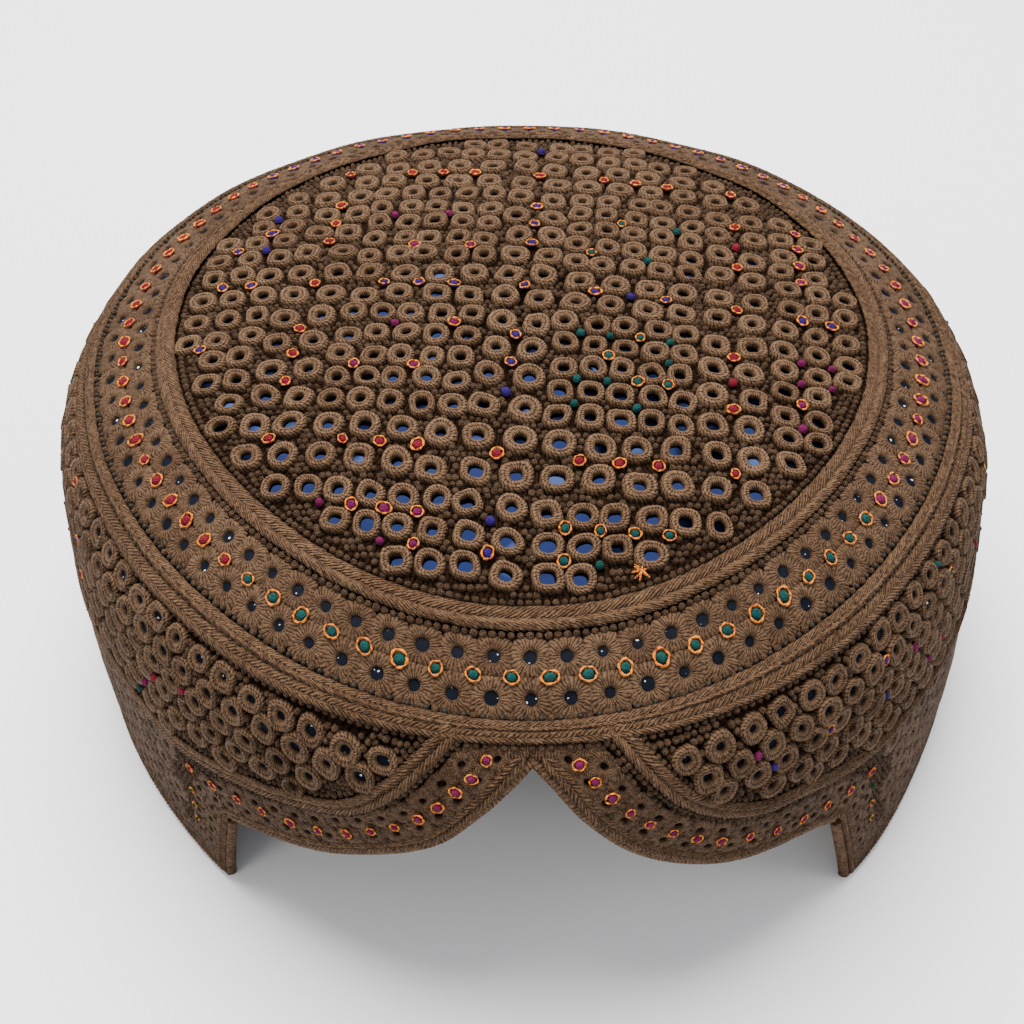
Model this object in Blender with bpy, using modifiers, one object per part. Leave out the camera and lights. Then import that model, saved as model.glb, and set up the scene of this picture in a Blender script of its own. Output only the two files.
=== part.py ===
"""A round embroidered cap, standing on its own lower edge.

A gently domed crown turns down over a rounded shoulder into an upright wall. In front the wall is
cut to a pointed arch between two rounded lobes, and from the lobes' outer ends it steps down to
the long panel that runs round the sides and the back and carries the cap. Braids cover the seams
and frame the fields, and a cord binds every lower edge.

Frame: +Z is up, the foot stands on z = 0, the arch faces -Y. An azimuth is counted from the
front, towards +X. The outline is worked out as a turned form first. settle() then gives it the
slightly long plan, the droop and the lean of the real, soft cap.
"""

import bmesh
import bpy
import math
import numpy as np

MM = 0.001

# Outline of the turned form, from the middle of the crown outwards and down
CROWN_TOP = 81.5 * MM
CROWN_RADIUS = 79.8 * MM
DOME_RISE = 8.8 * MM
EDGE_RISE = 3.2 * MM
EDGE_POWER = 10
SHOULDER_RADIUS = 21.5 * MM
SHOULDER_END = math.radians(80.0)

# How the soft form settles
PLAN_WAVES = ((2, 0.019), (3, 0.008), (4, 0.010))   # waves round the plan, share of the radius
DROOP_WAVES = ((2, 1.6 * MM), (4, 0.7 * MM))        # waves round the rim, drop at their crests
LEAN = 0.030                                        # shift towards -X for each unit of height
SPLAY_OUT = 1.8 * MM                                # how far the panel's +X corner stands out
SPLAY_AZIMUTH = math.radians(39)
SPLAY_WIDTH = math.radians(14)
SPLAY_TOP = 30 * MM
AXIS_X = 0.4 * MM                                   # put the middle of the whole box on x = y = 0
AXIS_Y = -2.0 * MM

# Cloth, braids and cords
CROWN_THICK = 2.6 * MM
WALL_THICK = 2.6 * MM
GAP = 0.3 * MM
SEAM_DOWN = 0.6 * MM                                # from the crown's edge to the seam, along it
CORD_RADIUS = 0.95 * MM
CORD_FOOT_CUT = 0.2 * MM                            # how far the foot cord is pressed flat

# Braids: the rim's two lie side by side, measured down along the shoulder from the crown's edge
BRAID_THICK = 1.4 * MM
INNER_BRAID_WIDTH = 3.7 * MM
INNER_BRAID_RADIUS = 66.7 * MM
RIM_BRAID_WIDTH = 2.4 * MM
UPPER_RIM_DOWN = 1.2 * MM
LOWER_RIM_DOWN = 3.9 * MM
PANEL_BRAID_WIDTH = 2.2 * MM

# Lower edge of the wall in front: azimuth in degrees, height on the -X and the +X side in mm
ARCH_EDGE = (
    (0.0, 65.3, 65.3),
    (2.2, 62.7, 62.4),
    (5.0, 57.7, 56.2),
    (8.5, 50.6, 48.8),
    (12.0, 46.1, 43.4),
    (16.5, 41.6, 38.4),
    (21.5, 36.8, 34.4),
    (27.0, 32.9, 31.5),
    (31.5, 29.8, 28.9),
    (34.6, 26.9, 25.8),
)
PANEL_FOOT_AZIMUTH = 38.4

# Rounded corner of the foot cord: steps on round the cap and up, in cord radii
FOOT_CORNER = (
    (-0.1, 1.0),
    (0.3, 0.3),
    (1.0, 0.0),
)

# Middle of the braid on the wall: azimuth in degrees, height on the -X and the +X side in mm
PANEL_BRAID = (
    (9.6, 66.0, 66.0),
    (11.5, 63.0, 62.4),
    (14.7, 57.4, 56.2),
    (18.5, 51.7, 50.5),
    (23.3, 48.1, 46.3),
    (28.0, 45.2, 44.4),
    (34.0, 42.3, 40.9),
    (41.3, 39.1, 38.0),
    (50.0, 37.2, 37.2),
)

# Mesh density
SEGMENTS = 72
ROUND_STEP = 360.0 / SEGMENTS
CROWN_RINGS = (0, 0.25, 0.48, 0.68, 0.83, 0.93, 1)  # shares of the crown's radius
CROWN_INNER_RINGS = (1, 0.83, 0.48, 0.25, 0)
BAND_ROWS = 9
ROW_CROWDING = 1.7                                  # brings the wall's rows together at its shoulder
SPAN_STEPS = 2                                      # steps of a smoothed edge between two rows
BRAID_SIDES = 8
SHARP_ANGLE = math.radians(40)
WELD = 0.01 * MM


def dome_height(radius):
    """Crown height: a parabola, plus a high power that bends the edge down to the shoulder."""
    share = radius / CROWN_RADIUS
    return CROWN_TOP - DOME_RISE * share ** 2 - EDGE_RISE * share ** EDGE_POWER


def dome_tilt(radius):
    """Angle of the crown's outward normal from the vertical."""
    share = radius / CROWN_RADIUS
    fall = 2 * DOME_RISE * share + EDGE_POWER * EDGE_RISE * share ** (EDGE_POWER - 1)
    return math.atan(fall / CROWN_RADIUS)


SHOULDER_START = dome_tilt(CROWN_RADIUS)
CROWN_EDGE_HEIGHT = dome_height(CROWN_RADIUS)


def shoulder(tilt):
    """Point of the shoulder's arc where its outward normal leans by tilt: radius and height."""
    radius = CROWN_RADIUS + SHOULDER_RADIUS * (math.sin(tilt) - math.sin(SHOULDER_START))
    height = CROWN_EDGE_HEIGHT - SHOULDER_RADIUS * (math.cos(SHOULDER_START) - math.cos(tilt))
    return radius, height


WALL_TOP_RADIUS, WALL_TOP_HEIGHT = shoulder(SHOULDER_END)
WALL_FLARE = WALL_TOP_HEIGHT / (2 * math.tan(SHOULDER_END))
FOOT_RADIUS = WALL_TOP_RADIUS + WALL_FLARE


def on_crown(radius):
    """Skin of the crown: radius, height and tilt."""
    return radius, dome_height(radius), dome_tilt(radius)


def on_shoulder(down):
    """Skin of the shoulder, a distance down along it from the crown's edge."""
    tilt = SHOULDER_START + down / SHOULDER_RADIUS
    return (*shoulder(tilt), tilt)


def on_wall(height):
    """Skin at a height below the crown's edge: the shoulder's arc, then the flaring wall."""
    if height > WALL_TOP_HEIGHT:
        rise = (CROWN_EDGE_HEIGHT - height) / SHOULDER_RADIUS
        tilt = math.acos(math.cos(SHOULDER_START) - rise)
        return shoulder(tilt)[0], height, tilt
    share = height / WALL_TOP_HEIGHT
    slope = 2 * WALL_FLARE * share / WALL_TOP_HEIGHT
    return FOOT_RADIUS - WALL_FLARE * share ** 2, height, math.pi / 2 - math.atan(slope)


def off_skin(skin, out, down=0.0):
    """Move a skin point out along its normal and down along the outline: radius and height."""
    radius, height, tilt = skin
    radius += out * math.sin(tilt) + down * math.cos(tilt)
    height += out * math.cos(tilt) - down * math.sin(tilt)
    return radius, height


def settle(radius, height, azimuth):
    """Place a point of the turned form on the settled cap. The azimuth is in radians."""
    plan = 1 + sum(share * np.cos(waves * azimuth) for waves, share in PLAN_WAVES)
    loose = np.minimum(height / CROWN_EDGE_HEIGHT, (radius / CROWN_RADIUS) ** 2)
    drop = sum(depth * np.cos(waves * azimuth) for waves, depth in DROOP_WAVES)
    off_corner = (np.mod(azimuth + math.pi, 2 * math.pi) - math.pi - SPLAY_AZIMUTH) / SPLAY_WIDTH
    splay = SPLAY_OUT * np.exp(-off_corner ** 2) * np.maximum(0, 1 - height / SPLAY_TOP)
    spread = plan * radius + splay
    x = AXIS_X + spread * np.sin(azimuth) - LEAN * height
    y = AXIS_Y - spread * np.cos(azimuth)
    return x, y, height - loose * drop


def smooth_curve(rows, per_span):
    """Catmull-Rom curve through rows of pairs, with its ends carried on straight."""
    rows = np.array(rows, dtype=float)
    rows = np.vstack((2 * rows[0] - rows[1], rows, 2 * rows[-1] - rows[-2]))
    points = []
    for before, start, end, after in zip(rows, rows[1:], rows[2:], rows[3:]):
        for t in np.arange(per_span) / per_span:
            bend = 2 * before - 5 * start + 4 * end - after
            twist = 3 * start - before - 3 * end + after
            points.append(start + 0.5 * (t * (end - before) + t * t * bend + t ** 3 * twist))
    points.append(rows[-2])
    return points


def wall_path(rows, column):
    """Smooth path through one height column of a table, in radians and metres."""
    picked = smooth_curve([(row[0], row[column]) for row in rows], SPAN_STEPS)
    return [(math.radians(azimuth), height * MM) for azimuth, height in picked]


def round_to_back(start):
    """Azimuths one step apart from a start in degrees to just before the middle of the back."""
    return [math.radians(azimuth) for azimuth in np.arange(start, 180 - ROUND_STEP / 2, ROUND_STEP)]


def mirrored(path):
    """The same path on the other side of the cap, walked the other way."""
    return [(-azimuth, height) for azimuth, height in reversed(path)]


def arch_edge():
    """Lower edge of the wall between the two panel edges, from -X to +X."""
    return mirrored(wall_path(ARCH_EDGE, 1)[1:]) + wall_path(ARCH_EDGE, 2)


def inset(path, distance):
    """Move a path along the wall into the cloth, which lies to its left, mitred at its corners."""
    unrolled = [np.array((azimuth * FOOT_RADIUS, height)) for azimuth, height in path]
    runs = [(b - a) / np.linalg.norm(b - a) for a, b in zip(unrolled, unrolled[1:])]
    runs = [runs[0], *runs, runs[-1]]
    moved = []
    for point, run_in, run_out in zip(unrolled, runs, runs[1:]):
        normal = np.array((-run_in[1] - run_out[1], run_in[0] + run_out[0]))
        normal /= np.linalg.norm(normal)
        mitre = normal[0] * -run_in[1] + normal[1] * run_in[0]
        u, height = point + normal * distance / mitre
        moved.append((u / FOOT_RADIUS, height))
    return moved


def material(name, color, roughness):
    made = bpy.data.materials.new(name)
    made.use_nodes = True
    shader = made.node_tree.nodes["Principled BSDF"]
    shader.inputs["Base Color"].default_value = (*color, 1.0)
    shader.inputs["Roughness"].default_value = roughness
    shader.inputs["Metallic"].default_value = 0.0
    return made


def add_object(name, mesh, collection, finish=None):
    if finish:
        mesh.materials.append(finish)
        mesh.shade_smooth()
        mesh.set_sharp_from_angle(angle=SHARP_ANGLE)
    made = bpy.data.objects.new(name, mesh)
    collection.objects.link(made)
    return made


def evaluated_mesh(source):
    """Mesh of an object as its modifiers leave it, with the object itself removed."""
    graph = bpy.context.evaluated_depsgraph_get()
    mesh = bpy.data.meshes.new_from_object(source.evaluated_get(graph))
    bpy.data.objects.remove(source)
    return mesh


def loft(name, sections, closed):
    """Solid through rings of points: joined end to end if closed, with flat caps if not."""
    count, sides = len(sections), len(sections[0])
    points = [point for section in sections for point in section]
    faces = []
    for i in range(count if closed else count - 1):
        here, there = i * sides, (i + 1) % count * sides
        for j in range(sides):
            k = (j + 1) % sides
            faces.append((here + j, here + k, there + k, there + j))
    if not closed:
        faces.append(tuple(reversed(range(sides))))
        faces.append(tuple(range((count - 1) * sides, count * sides)))
    mesh = bpy.data.meshes.new(name)
    mesh.from_pydata(points, [], faces)
    return mesh


def make_crown(collection, finish):
    """Half section of the crown, turned about the axis, then settled."""
    seam = on_shoulder(SEAM_DOWN)
    outer = [on_crown(share * CROWN_RADIUS) for share in CROWN_RINGS] + [seam]
    inner = [seam] + [on_crown(share * CROWN_RADIUS) for share in CROWN_INNER_RINGS]
    profile = [off_skin(skin, 0) for skin in outer]
    profile += [off_skin(skin, -CROWN_THICK) for skin in inner]
    mesh = bpy.data.meshes.new("crown_profile")
    edges = [(i, i + 1) for i in range(len(profile) - 1)]
    mesh.from_pydata([(radius, 0, height) for radius, height in profile], edges, [])
    half = add_object("crown_profile", mesh, collection)
    turn = half.modifiers.new("turn", "SCREW")
    turn.steps = turn.render_steps = SEGMENTS
    turn.use_merge_vertices = True
    turn.merge_threshold = WELD
    mesh = evaluated_mesh(half)
    flat = np.empty(len(mesh.vertices) * 3, dtype=np.float32)
    mesh.vertices.foreach_get("co", flat)
    turned = flat.reshape(-1, 3).astype(float)
    radius = np.hypot(turned[:, 0], turned[:, 1])
    azimuth = np.arctan2(turned[:, 0], -turned[:, 1])
    settled = np.column_stack(settle(radius, turned[:, 2], azimuth))
    mesh.vertices.foreach_set("co", settled.astype(np.float32).ravel())
    return add_object("crown", mesh, collection, finish)


def band_edge():
    """Lower edge of the wall's cloth, above and behind the cord that binds it."""
    cord = 2 * CORD_RADIUS + GAP
    foot = [(azimuth, 0.0) for azimuth in round_to_back(PANEL_FOOT_AZIMUTH)]
    return inset(mirrored(foot) + arch_edge() + foot, cord) + [(math.pi, cord)]


def make_side_band(collection, finish):
    """Wall sections at each azimuth, from the seam down to the edge and up the inside."""
    seam = on_shoulder(SEAM_DOWN + GAP)
    sections = []
    for azimuth, edge in band_edge():
        skins = [seam]
        for row in range(1, BAND_ROWS):
            share = (row / (BAND_ROWS - 1)) ** ROW_CROWDING
            skins.append(on_wall(seam[1] + (edge - seam[1]) * share))
        ring = [off_skin(skin, 0) for skin in skins]
        ring += [off_skin(skin, -WALL_THICK) for skin in reversed(skins)]
        sections.append([settle(radius, height, azimuth) for radius, height in ring])
    return add_object("side_band", loft("side_band", sections, True), collection, finish)


def make_braid(name, path, width, closed, collection, finish):
    """Oval braid laid on the skin along a path of azimuths and skin points."""
    half_thick = 0.5 * BRAID_THICK / math.cos(math.pi / BRAID_SIDES)
    sections = []
    for i, (azimuth, skin) in enumerate(path):
        last = len(path) - 1
        before = path[i - 1] if closed or i > 0 else path[i]
        after = path[(i + 1) % len(path)] if closed or i < last else path[i]
        along = (after[0] - before[0] + math.pi) % (2 * math.pi) - math.pi
        fall = before[1][1] - after[1][1]
        turn = math.atan2(fall / math.sin(skin[2]), along * skin[0])
        section = []
        for side in range(BRAID_SIDES):
            angle = -2 * math.pi * (side + 0.5) / BRAID_SIDES
            across = 0.5 * width * math.cos(angle)
            out = GAP + 0.5 * BRAID_THICK + half_thick * math.sin(angle)
            radius, height = off_skin(skin, out, across * math.cos(turn))
            shifted = azimuth - across * math.sin(turn) / skin[0]
            section.append(settle(radius, height, shifted))
        sections.append(section)
    return add_object(name, loft(name, sections, closed), collection, finish)


def ring_path(skin):
    return [(math.radians(i * ROUND_STEP), skin) for i in range(SEGMENTS)]


def panel_braid_path():
    """From under the rim beside the arch, down over the lobe and round the back to its twin."""
    level = PANEL_BRAID[-1][1] * MM
    back = [(azimuth, level) for azimuth in round_to_back(PANEL_BRAID[-1][0] + ROUND_STEP)]
    left = mirrored(wall_path(PANEL_BRAID, 1) + back)
    path = wall_path(PANEL_BRAID, 2) + back + [(math.pi, level)]
    path += [(2 * math.pi + azimuth, height) for azimuth, height in left]
    return [(azimuth, on_wall(height)) for azimuth, height in path]


def make_cord(name, path, collection, finish):
    """Round cord flush with the wall's outer face, as a mesh with welded caps."""
    curve = bpy.data.curves.new(name, "CURVE")
    curve.dimensions = "3D"
    curve.bevel_depth = CORD_RADIUS
    curve.bevel_resolution = 2
    curve.use_fill_caps = True
    spline = curve.splines.new("POLY")
    spline.points.add(len(path) - 1)
    for point, (azimuth, height) in zip(spline.points, path):
        radius, height = off_skin(on_wall(height), -CORD_RADIUS)
        point.co = (*settle(radius, height, azimuth), 1.0)
    guide = bpy.data.objects.new(name + "_guide", curve)
    collection.objects.link(guide)
    mesh = evaluated_mesh(guide)
    shape = bmesh.new()
    shape.from_mesh(mesh)
    bmesh.ops.remove_doubles(shape, verts=shape.verts, dist=WELD)
    shape.to_mesh(mesh)
    shape.free()
    return add_object(name, mesh, collection, finish)


def arch_cord_path():
    """Along the arch and both lobes, ending over the top of the panel's edges."""
    path = inset(arch_edge(), CORD_RADIUS)
    for end, neighbour in ((0, 1), (-1, -2)):
        (azimuth, height), (inner_azimuth, inner_height) = path[end], path[neighbour]
        share = 1 + CORD_RADIUS / FOOT_RADIUS / abs(azimuth - inner_azimuth)
        azimuth = inner_azimuth + share * (azimuth - inner_azimuth)
        path[end] = (azimuth, inner_height + share * (height - inner_height))
    return path


def panel_edge_path(lobe_end):
    """Middle of the cord from under the lobe's end, down the panel's edge and round to the back."""
    top = lobe_end * MM - GAP - 0.5 * CORD_RADIUS
    top_azimuth, foot_azimuth = math.radians(ARCH_EDGE[-1][0]), math.radians(PANEL_FOOT_AZIMUTH)
    corner = inset([(top_azimuth, top), (foot_azimuth, 0.0), (math.pi, 0.0)], CORD_RADIUS)
    (start, high), (bend, low), (_, level) = corner
    slant = (bend - start) / (high - low)
    level -= CORD_FOOT_CUT
    path = [(start + (high - top) * slant, top)]
    path.append(((path[0][0] + bend) / 2, (top + low) / 2))
    for step_on, step_up in FOOT_CORNER:
        path.append((bend + step_on * CORD_RADIUS / FOOT_RADIUS, level + step_up * CORD_RADIUS))
    return path + [(azimuth, level) for azimuth in round_to_back(math.degrees(bend) + ROUND_STEP)]


def foot_cord_path():
    """Down one panel edge, round the back at the foot and up the other edge."""
    left, right = (panel_edge_path(ARCH_EDGE[-1][column]) for column in (1, 2))
    path = right + [(math.pi, right[-1][1])]
    return path + [(2 * math.pi + azimuth, height) for azimuth, height in mirrored(left)]


def press_flat(cord, cutters):
    """Cut the foot cord level with the surface that it stands on."""
    width, depth = 3 * FOOT_RADIUS, FOOT_RADIUS
    bpy.ops.mesh.primitive_cube_add(size=1.0, location=(0, 0, -depth / 2))
    floor = bpy.context.active_object
    floor.name = "foot_cutter"
    floor.dimensions = (width, width, depth)
    for used in list(floor.users_collection):
        used.objects.unlink(floor)
    cutters.objects.link(floor)
    floor.hide_render = True
    floor.display_type = "WIRE"
    cut = cord.modifiers.new("press_flat", "BOOLEAN")
    cut.operation = "DIFFERENCE"
    cut.object = floor


def main():
    for old in list(bpy.data.objects):
        bpy.data.objects.remove(old)
    cap = bpy.data.collections.new("embroidered_cap")
    cutters = bpy.data.collections.new("cutters")
    bpy.context.scene.collection.children.link(cap)
    bpy.context.scene.collection.children.link(cutters)

    field = material("eyelet_field", (0.145, 0.082, 0.049), 0.9)
    wall = material("wall_field", (0.12, 0.07, 0.041), 0.9)
    braid = material("braid_thread", (0.18, 0.105, 0.06), 0.8)
    edging = material("edge_cord", (0.15, 0.088, 0.05), 0.85)

    make_crown(cap, field)
    make_side_band(cap, wall)
    inner = ring_path(on_crown(INNER_BRAID_RADIUS))
    upper = ring_path(on_shoulder(UPPER_RIM_DOWN))
    lower = ring_path(on_shoulder(LOWER_RIM_DOWN))
    make_braid("inner_braid", inner, INNER_BRAID_WIDTH, True, cap, braid)
    make_braid("upper_rim_braid", upper, RIM_BRAID_WIDTH, True, cap, braid)
    make_braid("lower_rim_braid", lower, RIM_BRAID_WIDTH, True, cap, braid)
    make_braid("panel_braid", panel_braid_path(), PANEL_BRAID_WIDTH, False, cap, braid)
    make_cord("arch_cord", arch_cord_path(), cap, edging)
    press_flat(make_cord("foot_cord", foot_cord_path(), cap, edging), cutters)


main()
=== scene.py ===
"""Looks of the embroidered cap: ground cloth, raised and flat eyelets, knots, coloured studs,
sewn-in discs, plaited braids and overcast cords, on a pale floor under soft light.

All stitched pieces lie on one skin: the turned outline of the cap, settled into its slightly long,
drooping and leaning form. A place on it is a distance from the middle of the crown down along the
outline, an azimuth from the front towards +X, and a height above the cloth.
"""

import math

import bpy
import numpy as np
from mathutils import Matrix, Vector


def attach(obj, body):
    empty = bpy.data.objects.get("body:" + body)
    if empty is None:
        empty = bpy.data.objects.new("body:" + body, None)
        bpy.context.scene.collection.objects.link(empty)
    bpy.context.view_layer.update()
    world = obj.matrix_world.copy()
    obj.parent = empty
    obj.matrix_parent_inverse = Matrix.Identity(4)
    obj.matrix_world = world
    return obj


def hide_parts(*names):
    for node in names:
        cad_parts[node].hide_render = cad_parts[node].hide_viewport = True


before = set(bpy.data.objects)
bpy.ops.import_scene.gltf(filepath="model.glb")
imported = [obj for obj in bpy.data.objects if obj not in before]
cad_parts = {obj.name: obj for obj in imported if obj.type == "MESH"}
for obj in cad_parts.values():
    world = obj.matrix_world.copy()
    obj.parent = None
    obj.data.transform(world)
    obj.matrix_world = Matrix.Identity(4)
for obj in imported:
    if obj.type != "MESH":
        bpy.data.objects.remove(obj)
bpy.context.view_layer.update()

MM = 0.001

# Outline of the turned form and the way it settles, as in the solids
CROWN_TOP = 81.5 * MM
CROWN_RADIUS = 79.8 * MM
DOME_RISE = 8.8 * MM
EDGE_RISE = 3.2 * MM
EDGE_POWER = 10
SHOULDER_RADIUS = 21.5 * MM
SHOULDER_END = math.radians(80.0)
PLAN_WAVES = ((2, 0.019), (3, 0.008), (4, 0.010))
DROOP_WAVES = ((2, 1.6 * MM), (4, 0.7 * MM))
LEAN = 0.030
SPLAY_OUT = 1.8 * MM
SPLAY_AZIMUTH = math.radians(39)
SPLAY_WIDTH = math.radians(14)
SPLAY_TOP = 30 * MM
AXIS_X = 0.4 * MM
AXIS_Y = -2.0 * MM
CLOTH_THICK = 2.6 * MM
CORD_RADIUS = 0.95 * MM
GAP = 0.3 * MM

# Lower edge of the wall in front, where the overcast cord hangs a little below the solid's edge:
# azimuth in degrees, height on the -X and the +X side in mm
ARCH_EDGE = (
    (0.0, 64.2, 64.2), (2.2, 60.7, 60.5), (5.0, 55.4, 53.9),
    (8.5, 48.5, 46.7), (12.0, 44.2, 41.5), (16.5, 39.9, 36.8),
    (21.5, 35.2, 32.9), (27.0, 31.4, 30.0), (31.5, 28.6, 27.7),
    (34.6, 26.2, 25.1),
)
PANEL_FOOT_AZIMUTH = 38.4

# Middle of the braid on the wall: azimuth in degrees, height on the -X and the +X side in mm
PANEL_BRAID = (
    (8.1, 68.3, 68.3), (9.6, 66.0, 66.0), (11.5, 63.0, 62.4),
    (14.7, 57.4, 56.2), (18.5, 51.7, 50.5), (23.3, 48.1, 46.3),
    (28.0, 45.2, 44.4), (34.0, 42.3, 40.9), (41.3, 39.1, 38.0),
    (50.0, 37.2, 37.2),
)

# Coloured knots of the border in front: azimuth in degrees, height on the -X and the +X side in mm
BORDER_STUDS = (
    (4.5, 65.2, 64.7), (5.9, 62.7, 62.3), (7.4, 60.5, 59.6),
    (9.1, 57.4, 56.4), (11.0, 54.2, 52.9), (13.4, 50.9, 49.1),
    (15.9, 48.0, 45.7), (18.6, 45.0, 42.6), (21.9, 42.2, 40.4),
    (25.4, 40.0, 37.5), (29.1, 38.2, 35.5), (32.7, 36.4, 34.0),
    (36.5, 34.8, 32.4), (40.3, 33.9, 31.6),
)
LOW_STUDS = ((40.9, 26.4, 26.4), (41.1, 21.4, 21.4), (41.4, 16.4, 16.4))

# Layout of the crown's field: a lattice of dotted lines, turned a little to the right
FIELD_TURN = math.radians(-5.3)
FIELD_MIDDLE = (0.0, 2.0 * MM)
FIELD_STRETCH = (0.98, 1.01)
LINE_STEP = 40.5 * MM
LINE_STEPS = 6
BLOCK_STEP = 5.6 * MM
OUTER_ROWS = LINE_STEP + np.array((9.7, 15.4, 21.0)) * MM
FIELD_REACH = 62.2 * MM
LOOSE_STITCH = (17.1 * MM, -59.6 * MM)
LARGE_EYELET = 2.8 * MM
SMALL_EYELET = 2.6 * MM
LINE_STUD_STEP = 6.75 * MM
STUD_REACH = 61 * MM
KNOT_STEP = 1.2 * MM
KNOT_REACH = 63 * MM
KNOT_EDGE_RADIUS = 64.05 * MM

# Studs in the field's four blocks: signs of x and y, colour, and how many of four places are filled
BLOCK_STUDS = ((-1, -1, "magenta", 1), (1, -1, "teal", 3), (-1, 1, "magenta", 1), (1, 1, "teal", 1))

# Rings and rows round the cap: radii, counts of stitches, insets from the edge
INNER_BRAID_RADIUS = 66.7 * MM
STUD_RING_RADIUS = 75.0 * MM
STUD_RING_COUNT = 84
RIM_BRAID_RADIUS = 82 * MM
ROSETTE_ROWS = (72.15 * MM, 77.75 * MM)
ROSETTE_HALF = 3.0956 * MM
STRAND_STEP = 0.85 * MM
PANEL_STRAND_STEP = 0.88 * MM
HEM_STRAND_STEP = 0.92 * MM
WALL_COUNT = 96
PANEL_COUNT = 104
LOW_KNOTS_REACH = math.radians(62)
HEM_INSET = 2.6 * MM
BORDER_INSETS = (5.2 * MM, 8.7 * MM)
APEX_REACH = math.radians(2.6)
RIM_PARTING = math.radians(26)

# Colours of the ring of studs: from and to which azimuth, in degrees
RING_STUDS = (("crimson", -131, -39), ("teal", -39, 53), ("magenta", 53, 128), ("purple", 128, 229))

# Counts of the meshes: sides of an eyelet, points along the dome and for each row of a table
EYELET_SIDES = 16
DOME_POINTS = 400
TABLE_STEPS = 10

# Lights: name, place, width and height of the ellipse, power in W, tint
LIGHTS = (
    ("overhead", (-0.1, 0.25, 0.95), (0.8, 0.8), 31.0, (1.0, 0.99, 0.97)),
    ("front_left", (-0.8, -0.9, 0.75), (0.6, 0.6), 4.6, (1.0, 0.96, 0.9)),
    ("right", (0.95, -0.25, 0.6), (0.6, 0.6), 3.0, (0.97, 0.98, 1.0)),
    ("rear_window", (-0.14, 0.86, 0.95), (0.85, 0.42), 3.6, (0.9, 0.95, 1.0)),
)
LIT_PLACE = Vector((0, 0, 0.05))

# Camera: place, then heading, pitch down and roll in degrees, then focal length in mm
CAMERA_PLACE = Vector((-0.0072, -0.19921, 0.23506))
CAMERA_ANGLES = (-1.0994, 46.984, 0.6595)
CAMERA_LENS = 46.939

# Colours of thread, as light reflected; UMBER, the dark tone, is painted shade in the stitches' grooves and
# hollows, and the thread turns towards TAN at random and where crests carry a painted highlight
TAN = (0.142, 0.080, 0.041)
TOBACCO = (0.058, 0.026, 0.0095)
UMBER = (0.011, 0.0042, 0.0013)
STUD_COLOURS = {
    "purple": (0.018, 0.003, 0.10),
    "teal": (0.001, 0.045, 0.042),
    "crimson": (0.145, 0.002, 0.014),
    "magenta": (0.115, 0.002, 0.050),
    "green": (0.003, 0.040, 0.015),
}
RINGED_SHARE = {"purple": 0.6, "teal": 0.6, "crimson": 0.9, "magenta": 0.65, "green": 0.5}


def dome_height(radius):
    """Crown height: a parabola, plus a high power that bends the edge down to the shoulder."""
    share = radius / CROWN_RADIUS
    return CROWN_TOP - DOME_RISE * share ** 2 - EDGE_RISE * share ** EDGE_POWER


def dome_tilt(radius):
    """Angle of the crown's outward normal from the vertical."""
    share = radius / CROWN_RADIUS
    fall = 2 * DOME_RISE * share + EDGE_POWER * EDGE_RISE * share ** (EDGE_POWER - 1)
    return np.arctan(fall / CROWN_RADIUS)


SHOULDER_START = float(dome_tilt(CROWN_RADIUS))
CROWN_EDGE_HEIGHT = dome_height(CROWN_RADIUS)
WALL_TOP_RADIUS = CROWN_RADIUS + SHOULDER_RADIUS * (math.sin(SHOULDER_END) - math.sin(SHOULDER_START))
WALL_TOP_HEIGHT = CROWN_EDGE_HEIGHT - SHOULDER_RADIUS * (math.cos(SHOULDER_START) - math.cos(SHOULDER_END))
WALL_FLARE = WALL_TOP_HEIGHT / (2 * math.tan(SHOULDER_END))
FOOT_RADIUS = WALL_TOP_RADIUS + WALL_FLARE


def lengths_along(path):
    """Length of a path of points up to each of them."""
    return np.concatenate(([0], np.cumsum(np.linalg.norm(np.diff(path, axis=0), axis=1))))


def turned_outline():
    """Dome, shoulder arc and flaring wall in one line: distance along it, radius, height, tilt."""
    crown = np.linspace(0, CROWN_RADIUS, DOME_POINTS)
    tilt = np.linspace(SHOULDER_START, SHOULDER_END, 160)[1:]
    wall = np.linspace(WALL_TOP_HEIGHT, 0, 240)[1:]
    share = wall / WALL_TOP_HEIGHT
    bend = SHOULDER_RADIUS * (np.sin(tilt) - math.sin(SHOULDER_START))
    fall = SHOULDER_RADIUS * (math.cos(SHOULDER_START) - np.cos(tilt))
    radius = np.concatenate((crown, CROWN_RADIUS + bend, FOOT_RADIUS - WALL_FLARE * share ** 2))
    height = np.concatenate((dome_height(crown), CROWN_EDGE_HEIGHT - fall, wall))
    upright = np.pi / 2 - np.arctan(2 * WALL_FLARE * share / WALL_TOP_HEIGHT)
    lean = np.concatenate((dome_tilt(crown), tilt, upright))
    return lengths_along(np.column_stack((radius, height))), radius, height, lean


DISTANCE, RADIUS, HEIGHT, TILT = turned_outline()
EDGE_DISTANCE = float(np.interp(CROWN_RADIUS, RADIUS, DISTANCE))
FOOT_DISTANCE = float(DISTANCE[-1])


def distance_at_radius(radius):
    """Distance along the outline to a radius on the crown."""
    return np.interp(radius, RADIUS[:DOME_POINTS], DISTANCE[:DOME_POINTS])


def distance_at_height(height):
    """Distance along the outline to a height on the shoulder or the wall."""
    return np.interp(-np.asarray(height), -HEIGHT, DISTANCE)


PANEL_TOP = distance_at_height(PANEL_BRAID[-1][2] * MM)


def from_front(azimuth):
    """Azimuth within half a turn of the front."""
    return (azimuth + math.pi) % (2 * math.pi) - math.pi


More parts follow.
